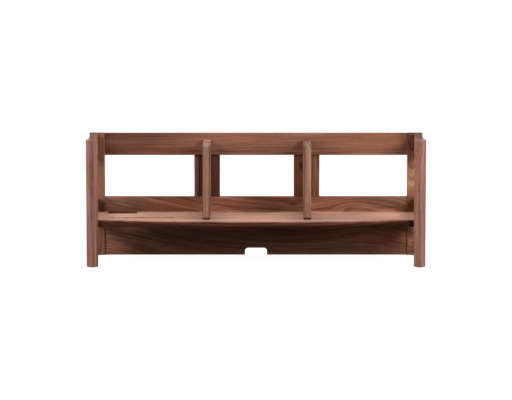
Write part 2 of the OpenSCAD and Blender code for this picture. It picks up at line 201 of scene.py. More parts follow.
# Wood of a log whose heart is the local Z axis. The distance from the heart, bent by slow noise and by
# knots, counts the yearly rings. Each ring darkens outwards and ends sharply. Streaks are noise of the
# ring count and of the place along the grain, so they follow the rings. Fibres and pores are noise
# stretched along Z: lines on a side face, dots on an end face.
def makeGrainGroup(figure):
    group, given, out = newGroup("walnutGrain", [
        ("Log Place", "vector", None), ("Seed", "vector", (0, 0, 0)), ("Ring Width", "number", 0.004),
        ("Bend", "number", 0.01), ("Knot Push", "number", 0.0),
        ("Light Colour", "colour", (0.3, 0.17, 0.11, 1)), ("Dark Colour", "colour", (0.12, 0.06, 0.035, 1)),
        ("Line Strength", "number", 0.4), ("Streak Strength", "number", 0.8),
        ("Fleck Strength", "number", 0.15), ("End Face", "number", 0.0)],
        [("Colour", "colour"), ("Height", "number"), ("Roughness", "number")])
    place = given["Log Place"]
    sample = vectorNode(group, "ADD", place, given["Seed"])
    endFace = given["End Face"]

    # noise with one scale across the grain and a smaller one along it
    def stretched(across, along, detail, roughness):
        squeezed = vectorNode(group, "MULTIPLY", sample, (across, across, along))
        return noiseNode(group, squeezed, 1.0, detail, roughness)

    # how many rings lie between the heart and this place
    heart = vectorNumber(group, "LENGTH", vectorNode(group, "MULTIPLY", place, (1.0, 1.0, 0.0)))
    slow = swing(group, stretched(*figure["slowBend"]), given["Bend"])
    quick = swing(group, stretched(*figure["quickBend"]), times(group, given["Bend"], figure["quickShare"]))
    distance = plus(group, plus(group, heart, slow), plus(group, quick, given["Knot Push"]))
    count = mathNode(group, "DIVIDE", distance, given["Ring Width"])

    # rings differ in width and darkness from year to year
    years = makeNode(group, "ShaderNodeTexNoise", {
        "Scale": figure["yearScale"], "Detail": figure["yearDetail"]})
    years.noise_dimensions = "1D"
    give(group, years.inputs["W"], count)
    year = years.outputs["Fac"]
    part = mathNode(group, "FRACT", plus(group, count, times(group, year, figure["yearShift"])))
    ended = smoothStep(group, part, figure["lateStep"][1], 1.0)
    late = times(group, smoothStep(group, part, *figure["lateStep"]), minus(group, 1.0, ended))
    late = times(group, late, ramp(group, year, *figure["yearStep"], figure["palestYear"], 1.0))

    # a share of colour streaks: a smooth step of noise of the ring count, of the place along the grain
    # and of one place across it
    def streaks(perRing, along, across, detail, roughness, step, share):
        x, y, z = separate(group, sample)
        followed = combine(group, times(group, count, perRing), times(group, z, along),
                           times(group, x, across))
        noise = noiseNode(group, followed, 1.0, detail, roughness)
        return times(group, smoothStep(group, noise, *step), share)

    streak = plus(group, streaks(*figure["broad"], figure["broadStep"], figure["broadShare"]),
                  streaks(*figure["narrow"], figure["narrowStep"], figure["narrowShare"]))

    # fibres, and pores that are larger in the early wood
    fibre = stretched(*figure["fibre"])
    early = minus(group, 1.0, smoothStep(group, part, 0.0, figure["earlyEnd"]))
    rim = minus(group, figure["poreRim"], times(group, early, figure["poreRimEarly"]))
    pore = times(group, minus(group, stretched(*figure["pore"]), rim), figure["poreGain"], clamp=True)

    # how dark, from 0 for the light colour to 1 for the dark one
    dark = plus(group, times(group, late, given["Line Strength"]),
                swing(group, streak, given["Streak Strength"]),
                swing(group, fibre, figure["fibreStrength"]),
                swing(group, stretched(*figure["fleck"]), given["Fleck Strength"]),
                times(group, endFace, figure["endDark"]), figure["middle"])
    dark = mathNode(group, "MINIMUM", dark, figure["darkest"])
    dark = mathNode(group, "MAXIMUM", dark, figure["lightest"])
    wood = mixColours(group, dark, given["Light Colour"], given["Dark Colour"], clamp=False)

    # a thin warm cast that changes slowly over the board, then the pores
    cast = smoothStep(group, stretched(*figure["cast"]), *figure["castStep"])
    cast = times(group, cast, figure["castShare"])
    wood = mixColours(group, cast, wood, figure["castColour"], "SOFT_LIGHT")
    wood = mixColours(group, times(group, pore, figure["poreShare"]), wood, figure["poreColour"])
    give(group, out["Colour"], wood)

    height = times(group, fibre, figure["fibreHeight"])
    height = minus(group, height, times(group, pore, figure["poreHeight"]))
    give(group, out["Height"], plus(group, height, times(group, late, figure["lateHeight"])))
    rough = plus(group, figure["rough"], times(group, pore, figure["poreRough"]))
    rough = minus(group, rough, times(group, late, figure["lateRough"]))
    give(group, out["Roughness"], plus(group, rough, times(group, endFace, figure["endRough"])))
    return group


# The squared distance from a centre, counted in half sizes along each axis.
def squaredDistance(tree, offset, size):
    away = vectorNode(tree, "DIVIDE", offset, size)
    return vectorNumber(tree, "DOT_PRODUCT", away, away)


# exp(-value * strength).
def fadeOut(tree, value, strength=1.0):
    return mathNode(tree, "EXPONENT", times(tree, value, -strength))


# A branch that once crossed the board: a bump exp(-d * d) that pushes the rings away round its centre,
# with a dark core exp(-7 * d * d) where the bump is highest.
def makeKnotGroup():
    coreFall = 7.0
    group, given, out = newGroup("woodKnot", [
        ("Place", "vector", None), ("Centre", "vector", None), ("Size", "vector", (0.02, 0.02, 0.03)),
        ("Push", "number", 0.02), ("Core", "number", 0.0)], [("Push", "number"), ("Core", "number")])
    offset = vectorNode(group, "SUBTRACT", given["Place"], given["Centre"])
    square = squaredDistance(group, offset, given["Size"])
    give(group, out["Push"], times(group, fadeOut(group, square), given["Push"]))
    give(group, out["Core"], times(group, fadeOut(group, square, coreFall), given["Core"], clamp=True))
    return group


# A patch that is lighter or darker than the rest, for wood figure or for painted light and shade:
# exp(-d * d * d * d) round its centre. With a slope, its height is counted from a line that falls by that
# much to the right.
def makePatchGroup():
    group, given, out = newGroup("figureAndPaintedLight", [
        ("Place", "vector", None), ("Centre", "vector", None), ("Size", "vector", (0.1, 0.1, 0.1)),
        ("Slope", "number", 0.0)], [("Mask", "number")])
    offset = vectorNode(group, "SUBTRACT", given["Place"], given["Centre"])
    fall = times(group, separate(group, offset)["X"], given["Slope"])
    offset = vectorNode(group, "ADD", offset, combine(group, 0.0, 0.0, fall))
    square = squaredDistance(group, offset, given["Size"])
    give(group, out["Mask"], fadeOut(group, times(group, square, square)))
    return group


# the noise that breaks up a rubbed edge, by its scale, its detail and its roughness, and its step
edgeRubbing = {"noise": (160.0, 3.0, 0.6), "step": (0.35, 0.65)}


# Rubbed edges of a box-shaped piece: of the three distances inwards from its faces the middle one is
# the distance to the nearest edge. The mask falls from 1 at the edge to 0 at the given width, broken
# up by noise.
def makeEdgeGroup(rubbing):
    group, given, out = newGroup("edgeWear", [
        ("Place", "vector", None), ("Centre", "vector", None), ("Half Size", "vector", None),
        ("Width", "number", 0.003)], [("Mask", "number")])
    offset = vectorNode(group, "ABSOLUTE", vectorNode(group, "SUBTRACT", given["Place"], given["Centre"]))
    x, y, z = separate(group, vectorNode(group, "SUBTRACT", given["Half Size"], offset))
    low = mathNode(group, "MINIMUM", x, mathNode(group, "MINIMUM", y, z))
    high = mathNode(group, "MAXIMUM", x, mathNode(group, "MAXIMUM", y, z))
    middle = minus(group, plus(group, x, plus(group, y, z)), plus(group, low, high))
    near = minus(group, 1.0, mathNode(group, "DIVIDE", middle, given["Width"]), clamp=True)
    noise = noiseNode(group, given["Place"], *rubbing["noise"])
    give(group, out["Mask"], times(group, near, smoothStep(group, noise, *rubbing["step"]), clamp=True))
    return group


grainGroup = makeGrainGroup(woodFigure)
knotGroup = makeKnotGroup()
patchGroup = makePatchGroup()
edgeGroup = makeEdgeGroup(edgeRubbing)
print("shared effects ready")


# What every walnut piece has unless its own settings say otherwise. Lengths are metres.
walnut = {
    "grain": "Z",                      # the axis that the grain follows
    "heart": (0, 0, 0),                # a point of the log's heart
    "tilt": (0, 0),                    # turn of the heart out of the grain's axis, in radians
    "seed": (0, 0, 0),                 # moves every noise, so that no two pieces have the same
    "light": (0.37, 0.19, 0.125), "dark": (0.13, 0.052, 0.03),
    "tone": (1, 1, 1),                 # factor on both colours
    "ringWidth": 0.0045,
    "bend": 0.012,                     # how far the rings wander
    "line": 0.25, "streak": 0.9, "fleck": 0.3,      # strength of late wood, colour streaks and flecks
    "knots": (), "knotColour": (0.02, 0.009, 0.006),
    "patches": (),
    "endStep": (0.6, 0.9),             # how squarely a face looks along the grain where it shows end grain
    # the faces' factors are painted shade and sheen: tops and sides made darker, lighter or greyer for the
    # light on them
    "faces": {}, "faceStep": (0.6, 0.85),           # factors on the faces that look along an axis
    "box": None,                       # the piece's corners, for its rubbed edges
    "wear": 0.12, "wearWidth": 0.002, "wearColour": (0.36, 0.21, 0.145),
    "under": None,                     # the shelf board's undercut
    "bump": 0.00022, "bumpStrength": 0.35,
    "specular": 0.1, "ior": 1.47,
}

# turns that bring a piece's grain direction onto the log's Z axis, and those directions themselves
grainTurns = {"X": (0, math.pi / 2, 0), "Y": (-math.pi / 2, 0, 0), "Z": (0, 0, 0)}
grainAxes = {"X": (1, 0, 0), "Y": (0, 1, 0), "Z": (0, 0, 1)}


# A knot: its centre, its half sizes, how far it pushes the rings and how dark its core is.
def knot(centre, size, push, core=0.0):
    return {"Centre": centre, "Size": size, "Push": push, "Core": core}


# A patch of lighter or darker colour, for wood figure or for painted light and shade: its centre, its half
# sizes, the factor on the colour, and how steeply it falls to the right.
def figureAndPaintedLight(centre, size, tone, slope=0.0):
    return {"place": {"Centre": centre, "Size": size, "Slope": slope}, "tone": tone}


# A colour times a tone, part by part.
def toned(colour, tone):
    return [part * factor for part, factor in zip(colour, tone)]


# A new material with its tree and its Principled shader.
def newMaterial(name):
    material = bpy.data.materials.new(name)
    material.use_nodes = True
    return material, material.node_tree, material.node_tree.nodes["Principled BSDF"]


# The place in the log: the object's place turned so that the grain lies along Z, measured from a point
# of the heart and then tilted. In the turned place a piece along X reads height, depth and minus X; a
# piece along Y reads X, height and minus Y.
def logPlace(tree, place, look):
    turned = makeNode(tree, "ShaderNodeMapping", {
        "Vector": place, "Location": [-part for part in look["heart"]],
        "Rotation": grainTurns[look["grain"]]})
    tilted = makeNode(tree, "ShaderNodeMapping", {
        "Vector": turned.outputs[0], "Rotation": (*look["tilt"], 0)})
    return tilted.outputs[0]


# How far the knots push the rings, and how dark their cores are: sums over the knots.
def knotSums(tree, place, knots):
    used = [useGroup(tree, knotGroup, {"Place": place, **branch}) for branch in knots]
    push = plus(tree, *[outputs["Push"] for outputs in used])
    return push, plus(tree, *[outputs["Core"] for outputs in used])


# 1 on faces that look along an axis and 0 on faces across it: a smooth step of |normal . axis|.
def facing(tree, normal, axis, step):
    along = vectorNumber(tree, "DOT_PRODUCT", normal, grainAxes[axis])
    return smoothStep(tree, mathNode(tree, "ABSOLUTE", along), *step)


# 0 on the undercut, 1 above it and behind it: the larger of two smooth steps, one along Y and one along Z.
def outsideUndercut(tree, place, under):
    x, y, z = separate(tree, place)
    behind = smoothStep(tree, y, *under["behind"])
    above = smoothStep(tree, z, *under["height"])
    return mathNode(tree, "MAXIMUM", behind, above)


# The mask of a box-shaped piece's rubbed edges.
def rubbedEdges(tree, place, look):
    low, high = look["box"]
    return useGroup(tree, edgeGroup, {
        "Place": place, "Centre": [(a + b) / 2 for a, b in zip(low, high)],
        "Half Size": [(b - a) / 2 for a, b in zip(low, high)],
        "Width": look["wearWidth"]})["Mask"]


# Bumps a shader's surface by a height.
def addBump(tree, shader, height, strength, distance):
    bump = makeNode(tree, "ShaderNodeBump", {"Strength": strength, "Distance": distance, "Height": height})
    give(tree, shader.inputs["Normal"], bump.outputs[0])


# Oiled walnut for one piece: the grain at its place in the log, then the knots' cores, the patches of
# figure and of painted light and shade, the painted shade and sheen of its faces, its rubbed edges and the
# painted shade of its undercut, each laid over the one before.
def walnutMaterial(name, **settings):
    look = {**walnut, **settings}
    material, tree, shader = newMaterial(name)
    coordinates = tree.nodes.new("ShaderNodeTexCoord").outputs
    place, normal = coordinates["Object"], coordinates["Normal"]
    under = look["under"]
    streak = look["streak"]
    if under:
        # the cut goes across the layers of the wood, so they show more strongly there
        outside = outsideUndercut(tree, place, under)
        streak = ramp(tree, outside, 0.0, 1.0, under["streak"], streak)
    values = {
        "Log Place": logPlace(tree, place, look), "Seed": look["seed"],
        "Ring Width": look["ringWidth"], "Bend": look["bend"],
        "Line Strength": look["line"], "Streak Strength": streak, "Fleck Strength": look["fleck"],
        "Light Colour": toned(look["light"], look["tone"]),
        "Dark Colour": toned(look["dark"], look["tone"]),
        "End Face": facing(tree, normal, look["grain"], look["endStep"])}
    if look["knots"]:
        values["Knot Push"], core = knotSums(tree, place, look["knots"])
    wood = useGroup(tree, grainGroup, values)
    colour = wood["Colour"]
    if look["knots"]:
        colour = mixColours(tree, core, colour, look["knotColour"])
    for patch in look["patches"]:
        mask = useGroup(tree, patchGroup, {"Place": place, **patch["place"]})["Mask"]
        colour = mixColours(tree, mask, colour, patch["tone"], "MULTIPLY")
    # painted shade and sheen on the faces that look along an axis
    for axis, tone in look["faces"].items():
        colour = mixColours(tree, facing(tree, normal, axis, look["faceStep"]), colour, tone, "MULTIPLY")
    if look["box"]:
        worn = times(tree, rubbedEdges(tree, place, look), look["wear"])
        colour = mixColours(tree, worn, colour, look["wearColour"])
    if under:
        # painted shade on the undercut, and a thin coat of oil outside it
        colour = mixColours(tree, minus(tree, 1.0, outside), colour, under["tone"], "MULTIPLY")
        give(tree, shader.inputs["Coat Weight"], times(tree, outside, under["coat"]))
        give(tree, shader.inputs["Coat IOR"], look["ior"])
        give(tree, shader.inputs["Coat Roughness"], under["coatRoughness"])
    give(tree, shader.inputs["Base Color"], colour)
    give(tree, shader.inputs["Roughness"], wood["Roughness"])
    give(tree, shader.inputs["IOR"], look["ior"])
    give(tree, shader.inputs["Specular IOR Level"], look["specular"])
    addBump(tree, shader, wood["Height"], look["bumpStrength"], look["bump"])
    return material


# Puts one material on every face of an object.
def dress(thing, material):
    thing.data.materials.clear()
    thing.data.materials.append(material)


# Dresses the named pieces in walnut, each with its own settings and rubbed edges.
def dressWalnut(looks):
    for name, look in looks.items():
        dress(nodes[name], walnutMaterial(name + "Wood", box=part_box(name), **look))


# The posts' grain is upright. Their faces' factors paint shade on their tops.
postWood = {
    "front_post_left": dict(
        tone=(1.2, 1.16, 1.38), heart=(-0.6, -0.08, 0), tilt=(0.01, 0.01), seed=(3.1, 0.2, 1.7),
        ringWidth=0.0036, streak=1.45, line=0.1, fleck=0.5, faces={"Z": (0.8, 0.8, 0.8)},
        patches=[
            # a darker lower half
            figureAndPaintedLight((-0.41, -0.0965, 0.06), (0.03, 0.03, 0.09), (0.8, 0.82, 0.84)),
            # painted light and shade: an upright dark strip, a light one and the shade on the inner side
            figureAndPaintedLight((-0.412, -0.1, 0.16), (0.003, 0.03, 0.2), (0.84, 0.8, 0.78)),
            figureAndPaintedLight((-0.4085, -0.1, 0.16), (0.002, 0.03, 0.2), (1.15, 1.15, 1.15)),
            figureAndPaintedLight((-0.3955, -0.1, 0.1), (0.0045, 0.03, 0.13), (0.5, 0.4, 0.36))]),
    "front_post_right": dict(
        tone=(1.18, 1.18, 1.42), heart=(0.56, -0.08, 0), tilt=(-0.01, 0.01), seed=(0.4, 5.2, 2.6),
        ringWidth=0.0036, streak=0.65, line=0.1, fleck=0.6, faces={"Z": (0.8, 0.8, 0.8)},
        knots=[
            knot((0.43, -0.112, 0.30), (0.02, 0.03, 0.05), 0.008)],
        patches=[
            # painted light and shade in upright strips, from the inner side outwards
            figureAndPaintedLight((0.4015, -0.1, 0.16), (0.0038, 0.03, 0.22), (1.32, 1.38, 1.42)),
            figureAndPaintedLight((0.4095, -0.1, 0.16), (0.003, 0.03, 0.22), (0.84, 0.78, 0.74)),
            figureAndPaintedLight((0.4225, -0.1, 0.16), (0.0032, 0.03, 0.22), (0.66, 0.68, 0.7)),
            # a darker top
            figureAndPaintedLight((0.417, -0.1, 0.31), (0.01, 0.03, 0.06), (0.85, 0.86, 0.88))]),
    "rear_post_left": dict(
        tone=(1.02, 1.03, 1.05), heart=(-0.36, 0.15, 0), tilt=(0.01, -0.02), seed=(7.3, 1.1, 0.4),
        specular=0.03, faces={"Z": (0.4, 0.37, 0.38)},
        patches=[
            # the shade above the board
            figureAndPaintedLight((-0.398, 0.088, 0.125), (0.03, 0.01, 0.021), (0.34, 0.33, 0.34))]),
    "rear_post_right": dict(
        tone=(1.14, 1.09, 1.06), heart=(0.399, 0.085, 0.32), tilt=(0.2, 0.0), seed=(2.2, 8.1, 4.9),
        ringWidth=0.0048, bend=0.008, line=0.5, specular=0.03, faces={"Z": (0.4, 0.37, 0.38)},
        patches=[
            # painted light from the side window in the middle of its height, and the painted shadow of the
            # upper side rail towards the top
            figureAndPaintedLight((0.396, 0.088, 0.21), (0.03, 0.01, 0.05), (1.5, 1.62, 1.62)),
            figureAndPaintedLight((0.396, 0.088, 0.30), (0.03, 0.01, 0.04), (0.66, 0.61, 0.58)),
            figureAndPaintedLight((0.392, 0.088, 0.312), (0.02, 0.01, 0.009), (0.62, 0.6, 0.56)),
            # a dark and a light spot near the foot
            figureAndPaintedLight((0.395, 0.088, 0.058), (0.009, 0.01, 0.0155), (0.52, 0.48, 0.6)),
            figureAndPaintedLight((0.395, 0.088, 0.03), (0.0065, 0.01, 0.015), (1.4, 1.42, 1.28)),
            # the shade above the board
            figureAndPaintedLight((0.398, 0.088, 0.125), (0.03, 0.01, 0.02), (0.85, 0.75, 0.62))]),
}
dressWalnut(postWood)

# The side rails have their grain from front to back. The upper rails' faces' factors paint shade and a
# greyer sheen on their tops.
sideRailWood = {
    "upper_side_rail_left": dict(
        grain="Y", tone=(0.85, 0.8, 0.78), heart=(-0.38, 0.2, 0), seed=(1.2, 2.1, 3.4),
        specular=0.03, faces={"Z": (0.3, 0.31, 0.32)}),
    "upper_side_rail_right": dict(
        grain="Y", tone=(0.85, 0.8, 0.78), heart=(0.38, 0.22, 0), seed=(5.5, 0.4, 1.2),
        specular=0.03, faces={"Z": (0.26, 0.29, 0.36)}),
    "lower_side_rail_left": dict(grain="Y", heart=(-0.37, 0.05, 0), seed=(0.7, 6.1, 2.9)),
    "lower_side_rail_right": dict(grain="Y", heart=(0.37, 0.06, 0), seed=(3.1, 1.9, 7.4)),
}
dressWalnut(sideRailWood)

# The long boards of the rear frame have their grain from left to right, the uprights have it upright. The
# faces' factors paint shade on the tops.
rearWood = {
    "top_rail": dict(
        grain="X", tone=(0.9, 0.83, 0.84), heart=(0.16, 0.13, 0.1), tilt=(0.0, 0.012), seed=(0.3, 0.9, 5.1),
        ringWidth=0.0038, bend=0.007, line=0.3, streak=0.85, specular=0.03, faces={"Z": (0.38, 0.33, 0.33)},
        patches=[
            # shaded upper ends
            figureAndPaintedLight((-0.395, 0.09, 0.312), (0.025, 0.03, 0.02), (0.75, 0.75, 0.75)),
            figureAndPaintedLight((0.392, 0.09, 0.312), (0.03, 0.03, 0.03), (0.66, 0.66, 0.66)),
            # painted light beside the dividers, over their shadows on the rail
            figureAndPaintedLight((-0.152, 0.09, 0.271), (0.024, 0.03, 0.017), (1.22, 1.22, 1.22)),
            figureAndPaintedLight((-0.105, 0.09, 0.271), (0.012, 0.03, 0.017), (1.12, 1.12, 1.12)),
            figureAndPaintedLight((0.101, 0.09, 0.271), (0.022, 0.03, 0.017), (1.25, 1.25, 1.25)),
            figureAndPaintedLight((0.152, 0.09, 0.271), (0.014, 0.03, 0.017), (1.15, 1.15, 1.15)),
            # a darker left end and a lighter right part
            figureAndPaintedLight((-0.42, 0.09, 0.29), (0.24, 0.1, 0.1), (0.6, 0.57, 0.61)),
            figureAndPaintedLight((0.25, 0.09, 0.29), (0.16, 0.1, 0.1), (1.12, 1.14, 1.1))]),
    "rear_panel": dict(
        grain="X", tone=(1.15, 1.11, 1.11), heart=(-0.09, 0.06, 0), tilt=(0.0, -0.05), seed=(4.4, 1.3, 0.2),
        ringWidth=0.0052, bend=0.013, streak=1.0, line=0.3, specular=0.03, faces={"Z": (0.45, 0.45, 0.45)},
        knots=[
            knot((-0.42, 0.09, 0.13), (0.23, 0.5, 0.25), -0.05),
            knot((0.29, 0.09, 0.11), (0.11, 0.5, 0.12), -0.03),
            knot((0.245, 0.09, 0.125), (0.04, 0.05, 0.016), -0.015),
            knot((0.095, 0.09, 0.134), (0.014, 0.05, 0.009), 0.012, core=0.6)],
        patches=[
            # above the board: painted light in the middle
            figureAndPaintedLight((0.0, 0.09, 0.15), (0.14, 0.012, 0.045), (1.45, 1.65, 1.8)),
            # painted light, as a light line along the board's back edge
            figureAndPaintedLight((0.1, 0.09, 0.112), (0.36, 0.012, 0.0046), (1.6, 1.7, 1.8)),
            figureAndPaintedLight((0.0, 0.09, 0.112), (0.12, 0.012, 0.0055), (1.75, 1.85, 1.8)),
            # painted shade on the panel seen through the cut-out, and painted shade beside the left post
            figureAndPaintedLight((-0.34, 0.09, 0.108), (0.05, 0.012, 0.009), (0.45, 0.43, 0.42)),
            figureAndPaintedLight((-0.3895, 0.09, 0.125), (0.0035, 0.012, 0.021), (0.5, 0.5, 0.5)),
            # darker ends, and a lighter stretch in the right bay
            figureAndPaintedLight((0.37, 0.09, 0.14), (0.09, 0.012, 0.03), (0.7, 0.7, 0.7)),
            figureAndPaintedLight((-0.36, 0.09, 0.13), (0.09, 0.012, 0.02), (0.7, 0.72, 0.74)),
            figureAndPaintedLight((0.28, 0.09, 0.15), (0.13, 0.012, 0.045), (1.15, 1.22, 1.2)),
            # below the board: a lighter left part and a darker right end
            figureAndPaintedLight((-0.37, 0.09, 0.05), (0.14, 0.012, 0.06), (1.15, 1.2, 1.26)),
            figureAndPaintedLight((0.37, 0.09, 0.03), (0.1, 0.012, 0.05), (0.85, 0.72, 0.7)),
            # light and dark figure near both ends
            figureAndPaintedLight((-0.345, 0.09, 0.045), (0.04, 0.012, 0.03), (1.55, 1.5, 1.48)),
            figureAndPaintedLight((-0.29, 0.09, 0.062), (0.045, 0.012, 0.02), (0.5, 0.52, 0.52)),
            figureAndPaintedLight((0.29, 0.09, 0.03), (0.04, 0.012, 0.03), (1.4, 1.34, 1.3)),
            figureAndPaintedLight((0.358, 0.09, 0.02), (0.022, 0.012, 0.03), (0.78, 0.78, 0.78)),
            # above the board: bands of the left bay that fall to the right
            figureAndPaintedLight((-0.2365, 0.09, 0.1366), (0.078, 0.012, 0.0042), (1.55, 1.72, 1.72), slope=0.21),
            figureAndPaintedLight((-0.255, 0.09, 0.129), (0.07, 0.012, 0.0036), (0.72, 0.74, 0.8), slope=0.2),
            figureAndPaintedLight((-0.3405, 0.09, 0.132), (0.024, 0.012, 0.0045), (1.6, 1.85, 1.8), slope=0.25),
            # short bands of the right bay
            figureAndPaintedLight((0.272, 0.09, 0.1238), (0.024, 0.012, 0.0036), (1.38, 1.4, 1.35)),
            figureAndPaintedLight((0.335, 0.09, 0.1245), (0.045, 0.012, 0.004), (0.68, 0.66, 0.66)),
            # below the board: lighter right of the notch, and painted shade in the middle under the board
            figureAndPaintedLight((0.14, 0.09, 0.02), (0.13, 0.012, 0.04), (1.35, 1.28, 1.2)),
            figureAndPaintedLight((0.0, 0.09, 0.08), (0.14, 0.012, 0.03), (0.8, 0.76, 0.7))]),
    "upright_left": dict(
        tone=(0.44, 0.39, 0.43), heart=(-0.2, 0.06, 0), tilt=(0.0, 0.01), seed=(6.6, 3.2, 1.8),
        specular=0.03,
        patches=[
            # a light left edge with a darker strip beside the divider
            figureAndPaintedLight((-0.154, 0.1, 0.2), (0.0055, 0.1, 0.2), (1.95, 2.2, 2.3)),
            figureAndPaintedLight((-0.1435, 0.1, 0.2), (0.0045, 0.1, 0.2), (0.62, 0.7, 0.85))]),
    "upright_right": dict(
        tone=(0.73, 0.64, 0.54), heart=(0.06, 0.08, 0), tilt=(0.0, 0.03), seed=(1.9, 7.7, 0.6),
        streak=1.3, specular=0.03,
        knots=[
            knot((0.1155, 0.094, 0.231), (0.009, 0.03, 0.018), 0.012, core=0.9)],
        patches=[
            # a light right edge
            figureAndPaintedLight((0.153, 0.1, 0.2), (0.009, 0.1, 0.2), (1.36, 1.53, 1.62))]),
}
dressWalnut(rearWood)

# The dividers' grain is upright, so their tops show end grain. Their faces' factors paint shade on their
# sides, a greyer sheen on the left one's top and shade on the right one's top.
dividerWood = {
    "divider_left": dict(
        tone=(1.24, 1.37, 1.56), heart=(-0.24, -0.02, 0), seed=(2.7, 0.8, 6.3), ringWidth=0.003,
        faces={"X": (0.44, 0.37, 0.33), "Z": (0.94, 1.18, 1.36)},
        patches=[
            # painted highlight and shade on the rounded front: a light strip and a dark one
            figureAndPaintedLight((-0.1228, -0.055, 0.21), (0.0018, 0.02, 0.13), (1.22, 1.3, 1.35)),
            figureAndPaintedLight((-0.1175, -0.055, 0.2), (0.002, 0.02, 0.12), (0.78, 0.76, 0.72)),
            # the painted shadow line under the foot
            figureAndPaintedLight((-0.125, -0.055, 0.1135), (0.03, 0.009, 0.0055), (0.08, 0.05, 0.05))]),
    "divider_right": dict(
        tone=(1.18, 1.2, 1.27), heart=(0.24, -0.03, 0), seed=(9.1, 4.6, 0.9), ringWidth=0.0026, streak=1.2,
        faces={"X": (0.6, 0.58, 0.56), "Z": (0.44, 0.46, 0.48)},
        patches=[
            # painted shade and highlight on the rounded front: a dark strip and a light one
            figureAndPaintedLight((0.1195, -0.055, 0.21), (0.0045, 0.03, 0.13), (0.52, 0.4, 0.36)),
            figureAndPaintedLight((0.1325, -0.055, 0.23), (0.004, 0.02, 0.08), (1.22, 1.3, 1.3)),
            # the painted shadow line under the foot, and painted shade above it
            figureAndPaintedLight((0.1295, -0.055, 0.1135), (0.03, 0.009, 0.0055), (0.08, 0.05, 0.05)),
            figureAndPaintedLight((0.1295, -0.055, 0.13), (0.03, 0.02, 0.028), (0.78, 0.84, 0.88))]),
}
dressWalnut(dividerWood)
print("walnut frame dressed")


# The board's length, thickness, back edge and the middle of its bowed front come from the solid's box.
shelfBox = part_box("shelf_board")
shelfBoard = {
    "half": shelfBox[1][0], "top": shelfBox[1][2], "low": shelfBox[0][2],
    "back": shelfBox[1][1], "middleFront": shelfBox[0][1],
    "endFront": -0.051,          # the front edge at both ends
    "lowFront": -0.044,          # the lower front edge, straight from end to end
    "nose": 0.0035,              # radius of the rounded upper front edge
    "fullness": 1.6,             # power of the undercut's superellipse
    "trayLeft": -0.375, "trayLength": 0.168, "trayFront": -0.041, "trayWidth": 0.034,
    "trayDepth": 0.003, "trayCorner": 0.0025,
    "cutLeft": -0.3785, "cutLength": 0.076, "cutDepth": 0.037, "cutCorner": 0.005,
    "wallDown": (0.0, 0.08, 0.6, 0.85, 1.0),           # down the tray's wall, in shares of its depth
    "wallIn": (0.0, 0.00015, 0.0003, 0.0006, 0.0012),  # how far in the same points are, round its foot
    "topShares": (0.35, 0.7),    # points of the top, from the tray to the back
    "baseShares": (0.33, 0.66),  # points of the underside, from the back to the front
    "sections": 162, "undercutPoints": 25, "nosePoints": 11, "cornerSteps": 9,
    "wallGap": 0.00004,          # between the two sections that make the end wall of a hollow
    "decimals": 7,               # stations that agree to so many places are one
    "sharp": 32,                 # degrees past which an edge isn't smoothed
    "wood": dict(
        grain="X", tone=(1.41, 1.68, 1.93), heart=(0.06, 0.3, 0), seed=(5.9, 2.4, 3.3),
        ringWidth=0.005, bend=0.02, line=0.06, streak=0.3, specular=0.0,
        under={
            "height": (0.109, 0.1135), "behind": (-0.0435, -0.0425),      # where it ends, up and back
            # the tone is painted shade on the undercut
            "tone": (0.6, 0.4, 0.35), "streak": 1.6,
            "coat": 0.15, "coatRoughness": 0.42,      # of the faces outside it
        },
        patches=[
            # the shade of the front part
            figureAndPaintedLight((-0.02, -0.062, 0.1135), (0.42, 0.058, 0.02), (0.73, 0.71, 0.74)),
            # painted light on the middle of the undercut
            figureAndPaintedLight((0, -0.078, 0.1055), (0.22, 0.036, 0.0058), (2.4, 2.4, 2.5)),
            # a darker right part of the top
            figureAndPaintedLight((0.29, 0.0, 0.1135), (0.13, 0.12, 0.02), (0.88, 0.86, 0.87)),
            # the undercut's left and right parts
            figureAndPaintedLight((-0.26, -0.07, 0.106), (0.13, 0.03, 0.0055), (0.86, 0.78, 0.8)),
            figureAndPaintedLight((0.26, -0.07, 0.106), (0.13, 0.03, 0.0055), (1.35, 1.15, 1.08)),
            # painted light towards the back, where the rear panel shades the board
            figureAndPaintedLight((0, 0.09, 0.1135), (0.9, 0.036, 0.02), (1.2, 1.2, 1.18)),
            figureAndPaintedLight((0.08, 0.09, 0.1135), (0.24, 0.032, 0.02), (1.4, 1.38, 1.38)),
            # the undercut's two ends: a lighter spot at the right, and painted shade in the pockets beside
            # both posts
            figureAndPaintedLight((0.379, -0.05, 0.103), (0.012, 0.03, 0.009), (1.2, 1.65, 1.95)),
            figureAndPaintedLight((-0.402, -0.05, 0.099), (0.014, 0.03, 0.0115), (0.35, 0.3, 0.25)),
            figureAndPaintedLight((0.404, -0.05, 0.099), (0.017, 0.03, 0.0115), (0.25, 0.3, 0.31))]),
}


# How far a rounded corner keeps back an edge, at a distance along it from the corner:
# radius - sqrt(radius^2 - (radius - along)^2) inside the corner and 0 beyond it.
def cornerBack(along, radius):
    within = np.clip(radius - along, 0, radius)
    return radius - np.sqrt(np.maximum(radius * radius - within * within, 0))


# Places from left to right where the board has a section: an even row, and at both ends of the tray and
# of the cut-out a pair a hair apart, with more along the rounded corners, closer towards the wall.
def boardStations(shelf):
    rows = [np.linspace(-shelf["half"], shelf["half"], shelf["sections"])]
    bend = 1 - np.cos(np.linspace(0, math.pi / 2, shelf["cornerSteps"]))
    gap = shelf["wallGap"]
    for hollow in ("tray", "cut"):
        left = shelf[hollow + "Left"]
        right = left + shelf[hollow + "Length"]
        curve = shelf[hollow + "Corner"] * bend
        rows += [left + gap + curve, right - gap - curve, np.array([left, right])]
    return np.unique(np.round(np.concatenate(rows), shelf["decimals"]))


